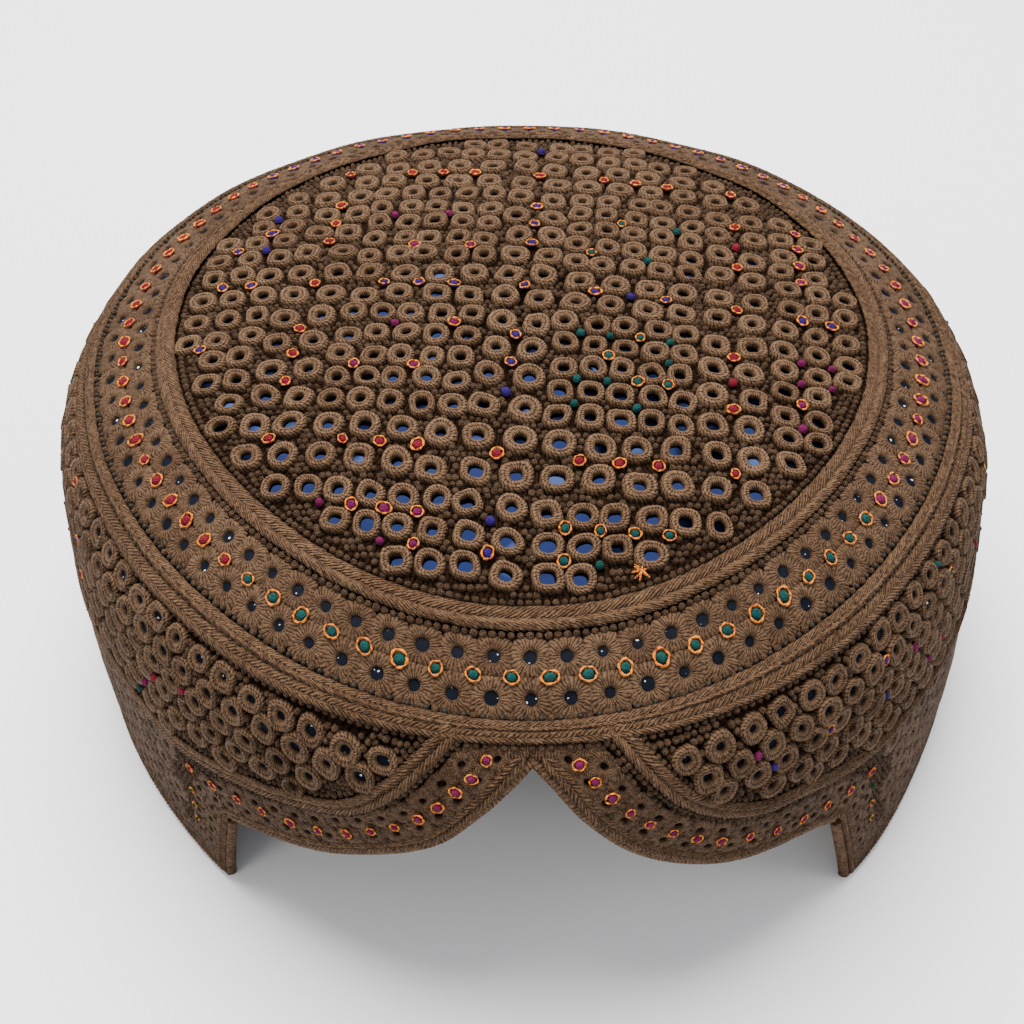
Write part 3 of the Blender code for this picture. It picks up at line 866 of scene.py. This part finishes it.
def make_crown_field():
    """Raised eyelets with their discs, the knots that fill the gaps, and the field's studs."""
    rng = np.random.default_rng(11)
    layout = field_layout()
    count = len(layout)
    p, q = (layout[:, k] + rng.normal(0, 0.28 * MM, count) for k in (0, 1))
    x, y = field_place(p, q)
    radius = layout[:, 2] * rng.uniform(0.94, 1.04, count)
    hole = rng.uniform(0.9, 1.35, count) * MM * np.interp(y, (-45 * MM, 15 * MM), (1.0, 0.8))
    height = rng.uniform(1.05, 1.4, count) * MM
    centre = x, y, FIELD_TURN + rng.normal(0, 0.15, count)
    form = eyelet_form(radius, hole, height, rng, FLAT_RING)
    ringed("crown_eyelets", laid_on_crown(*centre, *form), RAISED_THREAD)

    along, across, _ = disc_form(1.25 * hole, 12)
    tip = copies_of(rng.uniform(0, 2 * math.pi, count))
    out = 0.05 * MM + 0.1 * (along * np.cos(tip) - across * np.sin(tip))
    ringed("crown_discs", laid_on_crown(*centre, along, across, out), DISC_MIRROR, "last")

    taken = [np.column_stack((x, y))]
    sizes = [radius + 0.4 * MM]
    for colour, places in field_studs().items():
        places = np.column_stack(field_place(*places.T))
        places = places[np.hypot(*places.T) < STUD_REACH]
        taken.append(places)
        sizes.append(np.full(len(places), 1.35 * MM))
        look = {"share": RINGED_SHARE[colour], "size": 0.98 * MM, "lift": 0.7 * MM}
        make_studs("crown", colour, places.T, rng, **look, laid=laid_on_crown, slot="eyelet_field")

    strands = 6
    lift = (0.9 + 0.1 * np.arange(strands)) * MM
    form = strand_form(rng.uniform(2.2, 3.2, strands) * MM, 0.4 * MM, 0.4 * MM, lift)
    middle = (place + rng.normal(0, 0.35 * MM, strands) for place in LOOSE_STITCH)
    points = laid_on_crown(*middle, rng.uniform(0, math.pi, strands), *form)
    ringed("loose_orange_stitch", points, ORANGE_THREAD, "first last")

    grid = np.arange(-64, 64.1, KNOT_STEP / MM) * MM
    knots = staggered(grid, grid, KNOT_STEP, 0.12 * MM, rng)
    knots = knots[np.hypot(*knots.T) < KNOT_REACH]
    knots = knots[clear_of(knots, np.concatenate(taken), np.concatenate(sizes))]
    edge = ring_angles(300)
    rim = KNOT_EDGE_RADIUS * np.column_stack((np.sin(edge), -np.cos(edge)))
    knots = np.concatenate((knots, rim))
    size, tall = (rng.uniform(*span, len(knots)) * MM for span in ((0.48, 0.72), (0.4, 0.9)))
    turn = rng.uniform(0, math.pi, len(knots))
    points = laid_on_crown(*knots.T, turn, *knot_form(size, tall, rng))
    ringed("crown_knots", points, KNOT_THREAD, "last")


def ring_of(distance, count, shift=0.0):
    """Distance and azimuth of places evenly round the cap."""
    return np.full(count, distance), 2 * np.pi * (np.arange(count) + shift) / count


def make_knots(name, distance, azimuth, size, tall, rng, lift=0.0, slot="wall_field", finish=KNOT_THREAD):
    """Knots at places on the skin, each turned at random."""
    along, across, out = knot_form(size, tall, rng)
    turn = rng.uniform(0, math.pi, len(size))
    points = laid_on_wall(distance, azimuth, turn, along, across, out + lift)
    ringed(name, points, finish, "last", slot=slot)


def make_knot_row(name, distance, azimuth, size, lift, seed, **keys):
    """Row of knots of nearly the same size."""
    rng = np.random.default_rng(seed)
    count = len(azimuth)
    size = size * rng.uniform(0.88, 1.1, count)
    make_knots(name, distance, azimuth, size, rng.uniform(0.6, 0.9, count) * MM, rng, lift, **keys)


# Rows of knots near the rim: name, finish, count, shift in steps, distance from the crown's edge in
# front and what it gains where the cords part, size and lift in mm, seed
RIM_ROWS = {
    "eyelet_field": (
        ("annulus_knots_outer", KNOT_THREAD, 178, 0.0, 0.3, 0.5, 0.66, 0.35, 32),
        ("annulus_beads", DARK_BEAD, 178, 0.5, 0.3, 0.5, 0.56, 0.25, 33),
    ),
    "wall_field": (
        ("rim_knots_between", KNOT_THREAD, 386, 0.0, 2.25, 1.7, 0.6, 0.3, 64),
        ("rim_knots", KNOT_THREAD, 386, 0.0, 4.5, 2.6, 0.62, 0.1, 61),
    ),
}


def make_rim_rows(slot):
    """Rows of knots and beads near the rim."""
    for name, finish, count, shift, front, spread, size, lift, seed in RIM_ROWS[slot]:
        azimuth = ring_of(0.0, count, shift)[1]
        place = rim_distance(azimuth, front * MM, spread * MM), azimuth
        make_knot_row(name, *place, size * MM, lift * MM, seed, slot=slot, finish=finish)


def make_annulus():
    """Flat ring of the crown: two rows of rosettes with a ring of studs where four meet."""
    rng = np.random.default_rng(23)
    count = STUD_RING_COUNT
    distance, azimuth = joined([ring_of(distance_at_radius(row), count) for row in ROSETTE_ROWS])
    hole = rng.uniform(0.62, 0.95, 2 * count) * MM
    half = ROSETTE_HALF * np.repeat(ROSETTE_ROWS, count) / STUD_RING_RADIUS
    form = rosette_form(half, hole, 0.62 * MM, rng)
    points = laid_on_wall(distance, azimuth, rng.normal(0, 0.05, 2 * count), *form)
    ringed("annulus_rosettes", points, ROSETTE_THREAD)
    along, across, _ = disc_form(1.1 * hole, 8)
    discs = laid_on_wall(distance, azimuth, 0.0, along, across, 0.05 * MM)
    ringed("annulus_discs", discs, DARK_DISC, "last")

    distance, azimuth = ring_of(distance_at_radius(STUD_RING_RADIUS), count, 0.5)
    for colour, first, last in RING_STUDS:
        picked = (np.degrees(azimuth) - first) % 360 <= last - first
        look = {"share": 1.0, "size": 1.08 * MM, "lift": 0.45 * MM}
        make_studs("ring", colour, (distance[picked], azimuth[picked]), rng, **look, slot="eyelet_field")
    inner = ring_of(distance_at_radius(69.1 * MM), 312)
    make_knot_row("annulus_knots_inner", *inner, 0.7 * MM, 0.15 * MM, seed=31, slot="eyelet_field")
    make_rim_rows("eyelet_field")


def make_plait(name, node, places, step, width, slant, length, strand, lift, seed):
    """Herringbone of two rows of slanted strands that meet along the middle of the path.

    Each strand is turned from the path by plus or minus the slant and set off to its own side.
    """
    rng = np.random.default_rng(seed)
    distance, azimuth, turn = places
    count = len(distance)
    girth = np.interp(distance, DISTANCE, RADIUS)
    forms = []
    for half in (-1, 1):
        shift = half * width / 4
        lean = half * math.radians(slant) * rng.uniform(0.9, 1.1, count)
        d = distance - shift * np.cos(turn)
        a = azimuth - shift * np.sin(turn) / girth + (0.5 * step / girth if half > 0 else 0)
        long = length * rng.uniform(0.93, 1.07, count)
        wide = strand * rng.uniform(0.92, 1.1, count)
        forms.append(laid_on_wall(d, a, turn + lean, *strand_form(long, wide, wide * 1.1, lift)))
    replaced = (node,) if node else ()
    ringed(name, np.concatenate(forms), BRAID_THREAD, "first last", replaces=replaced, slot="braid_thread")


def parted(azimuth):
    """How far the rim's cords have parted: 0 in front, where they lie close, and 1 at the sides."""
    return 1 - np.exp(-(from_front(azimuth) / RIM_PARTING) ** 2)


def rim_distance(azimuth, front, spread):
    """Distance of a line at the rim that moves down by spread where the cords part."""
    return EDGE_DISTANCE + front + spread * parted(azimuth)


def make_braids():
    """Plaits and satin cord: round the field, at the rim and on the wall."""
    girth = 2 * math.pi * INNER_BRAID_RADIUS
    count = round(girth / STRAND_STEP)
    places = *ring_of(distance_at_radius(INNER_BRAID_RADIUS), count), 0.0
    make_plait(
        "field_plait", "inner_braid", places, girth / count,
        width=3.5 * MM, slant=27, length=4.5 * MM, strand=0.86 * MM, lift=1.0 * MM, seed=41,
    )
    girth = 2 * math.pi * RIM_BRAID_RADIUS
    count = round(girth / STRAND_STEP)
    azimuth = ring_angles(count)
    narrow = (0.64 + 0.4 * np.sqrt(parted(azimuth))) * MM
    places = rim_distance(azimuth, 1.45 * MM, 1.05 * MM), azimuth, 0.0
    make_plait(
        "rim_satin_cord", "upper_rim_braid", places, girth / count,
        width=1.5 * narrow, slant=19, length=4.6 * narrow, strand=0.78 * MM, lift=0.95 * MM, seed=42,
    )
    places = rim_distance(azimuth, 3.0 * MM, 2.45 * MM), azimuth, 0.0
    make_plait(
        "rim_herringbone", "lower_rim_braid", places, girth / count,
        width=2.2 * narrow, slant=30, length=3.3 * narrow, strand=0.76 * MM, lift=1.0 * MM, seed=43,
    )
    places = both_sides(braid_line, (0,), PANEL_STRAND_STEP, 0.0)
    make_plait(
        "panel_plait", "panel_braid", places, PANEL_STRAND_STEP,
        width=2.4 * MM, slant=30, length=3.4 * MM, strand=0.78 * MM, lift=0.95 * MM, seed=44,
    )


def cord_tube(name, centre_points, node):
    """Overcast cord on the wall's edge: a tube whose radius swells with each slanted wrap."""
    path = skin_point(*wall_place(centre_points), -CORD_RADIUS + 0.1 * MM)
    ahead = np.gradient(path, axis=0)
    ahead /= np.linalg.norm(ahead, axis=1, keepdims=True)
    outward = (path - (AXIS_X, AXIS_Y, 0.0)) * (1, 1, 0)
    outward -= ahead * np.sum(outward * ahead, axis=1, keepdims=True)
    outward /= np.linalg.norm(outward, axis=1, keepdims=True)
    side = np.cross(ahead, outward)
    angle = ring_angles(10)[:, None]
    wrap = np.abs(np.sin(np.pi * lengths_along(path)[:, None, None] / (0.8 * MM) + angle))
    radius = (CORD_RADIUS + 0.1 * MM) * (0.9 + 0.13 * wrap)
    ring = path[:, None] + radius * (np.cos(angle) * outward[:, None] + np.sin(angle) * side[:, None])
    ring[..., 2] = np.maximum(ring[..., 2], 0.02 * MM)
    keys = {"run": 4, "replaces": (node,), "slot": "edge_cord"}
    ringed(name, ring[None], CORD_THREAD, "first last", **keys)


def make_cords():
    """Overcast cords: one along the arch and its lobes, one down the panel's edges and the foot.

    At the arch's apex the two halves go on to the point where they meet.
    """
    step = (len(ARCH_EDGE) - 1) * TABLE_STEPS
    left, right = (moved_in(lower_edge(side)[:step + 1], CORD_RADIUS) * (side, 1) for side in (-1, 1))
    run = [line[0, 0] * (line[2, 1] - line[0, 1]) / (line[2, 0] - line[0, 0]) for line in (left, right)]
    apex = (left[0, 1] - run[0] + right[0, 1] - run[1]) / 2
    arch, _ = evenly(np.concatenate((left[::-1], ((0.0, apex),), right)), 0.2 * MM)
    cord_tube("arch_edge_cord", arch, "arch_cord")
    left, right = (moved_in(lower_edge(side)[step:], CORD_RADIUS)[3:] * (side, 1) for side in (-1, 1))
    back = left[::-1] + (2 * math.pi * FOOT_RADIUS, 0)
    foot, _ = evenly(np.concatenate((right, back)), 0.22 * MM)
    cord_tube("foot_edge_cord", foot, "foot_cord")


def ring_rows(rows, count):
    """Distance and azimuth of places round the cap, in rows of which every second is shifted."""
    places = []
    for row, distance in enumerate(rows):
        azimuth = 2 * np.pi * (np.arange(count) + 0.5 * (row % 2)) / count - math.pi
        places.append(np.column_stack((np.full(count, distance), azimuth)))
    return np.concatenate(places)


def above(line_of, distance, azimuth):
    """How far places on the wall lie above a line that runs round each side, measured across it."""
    flat = np.column_stack((np.abs(azimuth) * FOOT_RADIUS, -distance))
    gap = np.empty(len(flat))
    for side in (-1, 1):
        picked = azimuth < 0 if side < 0 else azimuth >= 0
        line, _ = evenly(line_of(side), 1.0 * MM)
        near = np.linalg.norm(flat[picked, None] - line, axis=2).min(axis=1)
        level = np.interp(flat[picked, 0], *line.T, left=0.0)
        gap[picked] = near * np.sign(flat[picked, 1] - level)
    return gap


def fill_with_knots(name, rng, keep, centres, radii, step, spread, reach, rows, sizes, heights):
    """Knots in a shifted grid on the wall, where the mask keep allows and off all the centres."""
    across, down = np.arange(-reach, reach, step), np.arange(*rows, step)
    knots = staggered(across, down, step, spread, rng)
    knots = knots[keep(knots[:, 1], knots[:, 0] / FOOT_RADIUS)]
    knots = knots[clear_of(knots, centres, radii)]
    size, tall = (rng.uniform(*span, len(knots)) * MM for span in (sizes, heights))
    make_knots(name, knots[:, 1], knots[:, 0] / FOOT_RADIUS, size, tall, rng)


def make_wall_field():
    """Raised eyelets of the wall, the knots between them and a few studs."""
    rng = np.random.default_rng(57)
    places = ring_rows(np.linspace(EDGE_DISTANCE + 9.9 * MM, PANEL_TOP - 4.9 * MM, 6), WALL_COUNT)
    places = places + rng.normal(0, 1, places.shape) * (0.25 * MM, 0.0028)
    gap = above(braid_line, *places.T)
    places, gap = places[gap > 2.8 * MM], gap[gap > 2.8 * MM]
    count = len(places)
    distance, azimuth = places.T
    turn = rng.normal(0, 0.25, count)
    radius = np.minimum(rng.uniform(2.3, 2.65, count) * MM, gap - 0.9 * MM)
    hole = rng.uniform(0.55, 0.95, count) * MM
    form = eyelet_form(radius, hole, rng.uniform(1.0, 1.5, count) * MM, rng, SHALLOW_BOWL)
    ringed("wall_eyelets", laid_on_wall(distance, azimuth, turn, *form), WALL_THREAD, slot="wall_field")
    along, across, _ = disc_form(1.2 * hole, 8)
    discs = laid_on_wall(distance, azimuth, 0.0, along, across, 0.14 * MM)
    ringed("wall_discs", discs, DARK_DISC, "last", slot="wall_field")

    between = azimuth + math.pi / WALL_COUNT
    lucky = rng.uniform(0, 1, count) < 0.13
    shade = rng.integers(0, 4, count)
    for number, colour in enumerate(("teal", "magenta", "crimson", "purple")):
        picked = lucky & (shade == number)
        look = {"share": 0.4, "size": 0.85 * MM, "lift": 0.7 * MM}
        make_studs("wall", colour, (distance[picked], between[picked]), rng, **look)

    def keep(distance, azimuth):
        """Above the braid and below the rim's knots."""
        clear = above(braid_line, distance, azimuth) > 2.6 * MM
        return clear & (distance > rim_distance(azimuth, 5.5 * MM, 2.6 * MM))

    centres = np.column_stack((azimuth * FOOT_RADIUS, distance))
    fill_with_knots(
        "wall_knots", rng, keep, centres, radius + 0.38 * MM, step=1.22 * MM, spread=0.12 * MM,
        reach=math.pi * FOOT_RADIUS, rows=(EDGE_DISTANCE + 5.3 * MM, PANEL_TOP - 1.6 * MM),
        sizes=(0.56, 0.74), heights=(0.6, 1.0),
    )


def make_trim():
    """Knot rows under the rim and beside the wall's braid."""
    make_rim_rows("wall_field")
    for name, offset, seed in (("upper", 2.1 * MM, 62), ("lower", -2.0 * MM, 63)):
        distance, azimuth, _ = both_sides(braid_line, (offset,), 1.3 * MM, 0.0)
        make_knot_row("panel_knots_" + name, distance, azimuth, 0.6 * MM, 0.1 * MM, seed)


def make_border():
    """Border of the wall: small rosettes on both sides of a line of studs that follows the hem.

    Gives the rosettes' centres on the unrolled wall.
    """
    rng = np.random.default_rng(71)
    places = both_sides(lower_edge, BORDER_INSETS, 4.8 * MM, 2.6 * MM, slack=0.5 * MM)
    keep = above(braid_line, *places[:2]) < -2.6 * MM
    distance, azimuth, turn = (column[keep] for column in places)
    hole = rng.uniform(0.32, 0.52, len(distance)) * MM
    along, across, out = rosette_form(1.95 * MM, hole, 0.5 * MM, rng)
    points = laid_on_wall(distance, azimuth, turn, 1.3 * along, across, out)
    ringed("border_rosettes", points, ROSETTE_THREAD, slot="wall_field")
    for colour, table, share, size in (
        ("magenta", BORDER_STUDS, 1.0, 0.8 * MM),
        ("green", LOW_STUDS, 0.4, 0.6 * MM),
    ):
        angle, left, right = np.array(table).T
        height = np.concatenate((left, right)) * MM
        studs = distance_at_height(height), np.radians(np.concatenate((-angle, angle)))
        make_studs("border", colour, studs, rng, share, size, lift=0.4 * MM)
    return np.column_stack((azimuth * FOOT_RADIUS, distance))


def make_low_knots(rosettes):
    """Knots that fill the wall's lower front between its rosettes and along the panel's edge."""
    def keep(distance, azimuth):
        """Below the braid and above the edge's cord."""
        below = above(braid_line, distance, azimuth) < -2.7 * MM
        return below & (above(lower_edge, distance, azimuth) > 2.4 * MM)

    fill_with_knots(
        "low_knots", np.random.default_rng(91), keep, rosettes, 1.5 * MM, step=1.25 * MM, spread=0.08 * MM,
        reach=LOW_KNOTS_REACH * FOOT_RADIUS, rows=(EDGE_DISTANCE + 5.4 * MM, FOOT_DISTANCE - 2.2 * MM),
        sizes=(0.54, 0.7), heights=(0.45, 0.65),
    )


def make_hem():
    """Narrow plait between the edge's cord and the border's rosettes."""
    places = both_sides(lower_edge, (HEM_INSET,), HEM_STRAND_STEP, 0.6 * MM, slack=0.3 * MM)
    make_plait(
        "hem_plait", "", places, HEM_STRAND_STEP,
        width=1.6 * MM, slant=33, length=2.5 * MM, strand=0.72 * MM, lift=0.35 * MM, seed=45,
    )


def make_apex_stitches():
    """Short upright satin stitches between the rim and the arch's apex."""
    rng = np.random.default_rng(97)
    azimuth = np.arange(-APEX_REACH, APEX_REACH, 0.5 * MM / FOOT_RADIUS)
    count = len(azimuth)
    angle, _, height = np.array(ARCH_EDGE).T
    edge = np.interp(np.abs(azimuth), np.radians(angle), distance_at_height(height * MM))
    bottom = np.minimum(edge - 2.4 * MM, EDGE_DISTANCE + 7.4 * MM) + 0.3 * MM * rng.uniform(-1, 1, count)
    top = EDGE_DISTANCE + 3.6 * MM
    form = strand_form(bottom - top, 0.62 * MM, 0.7 * MM, 0.3 * MM)
    turn = math.pi / 2 + rng.normal(0, 0.08, count)
    points = laid_on_wall((top + bottom) / 2, azimuth, turn, *form)
    ringed("apex_stitches", points, BRAID_THREAD, "first last", slot="wall_field")


def make_back_seam():
    """Seam at the middle of the back: three columns of knots from the braid down to the hem."""
    rows = np.arange(PANEL_TOP - 1.9 * MM, FOOT_DISTANCE - 1.9 * MM, 1.15 * MM)
    distance = np.concatenate((rows, rows + 0.5 * MM, rows))
    azimuth = math.pi + np.repeat((-1.1, 0.0, 1.1), len(rows)) * MM / FOOT_RADIUS
    make_knot_row("back_seam_knots", distance, azimuth, 0.64 * MM, 0.35 * MM, seed=65)


def make_panel():
    """Flat panel of the sides and the back: rows of rosettes from the braid down to the foot."""
    rng = np.random.default_rng(83)
    places = ring_rows(np.linspace(PANEL_TOP + 4.6 * MM, FOOT_DISTANCE - 13.3 * MM, 4), PANEL_COUNT)
    places = places[np.abs(places[:, 1]) > math.radians(PANEL_FOOT_AZIMUTH + 5.4)]
    places = places[above(braid_line, *places.T) < -4.2 * MM]
    hole = rng.uniform(0.5, 0.8, len(places)) * MM
    along, across, out = rosette_form(2.95 * MM, hole, 0.6 * MM, rng)
    points = laid_on_wall(*places.T, 0.0, along, 1.2 * across, out)
    ringed("panel_rosettes", points, ROSETTE_THREAD, slot="wall_field")


def make_stage():
    """Pale floor, soft lights and an even grey surround."""
    bpy.ops.mesh.primitive_plane_add(size=6.0, location=(0, 0, 0))
    floor = bpy.context.active_object
    floor.name = "floor"
    paint, tree, shader = principled("floor_paint")
    feed(tree, shader, {"Base Color": (0.94, 0.94, 0.95), "Roughness": 0.9})
    floor.data.materials.append(paint)
    for name, place, size, power, tint in LIGHTS:
        data = bpy.data.lights.new(name, "AREA")
        data.shape = "ELLIPSE"
        data.size, data.size_y = size
        data.energy = power
        data.color = tint
        lamp = bpy.data.objects.new(name, data)
        lamp.location = place
        lamp.rotation_euler = (LIT_PLACE - Vector(place)).to_track_quat("-Z", "Y").to_euler()
        bpy.context.scene.collection.objects.link(lamp)
    world = bpy.data.worlds.new("surround")
    world.use_nodes = True
    surround = world.node_tree.nodes["Background"]
    feed(world.node_tree, surround, {"Color": (0.93, 0.95, 1.0), "Strength": 0.65})
    bpy.context.scene.world = world


def make_camera():
    """Camera at the photograph's place, as worked out from its rings and outline."""
    data = bpy.data.cameras.new("camera")
    data.sensor_width = 36.0
    data.lens = CAMERA_LENS
    data.clip_start = 0.01
    camera = bpy.data.objects.new("camera", data)
    heading, pitch, roll = (math.radians(angle) for angle in CAMERA_ANGLES)
    turn = Matrix.Rotation(heading, 4, "Z") @ Matrix.Rotation(math.pi / 2 - pitch, 4, "X")
    camera.matrix_world = Matrix.Translation(CAMERA_PLACE) @ turn @ Matrix.Rotation(roll, 4, "Z")
    bpy.context.scene.collection.objects.link(camera)
    bpy.context.scene.camera = camera


make_crown_cloth()
make_wall_cloth()
make_crown_field()
make_annulus()
make_braids()
make_cords()
make_wall_field()
make_trim()
border_centres = make_border()
make_hem()
make_apex_stitches()
make_back_seam()
make_panel()
make_low_knots(border_centres)
make_stage()
make_camera()
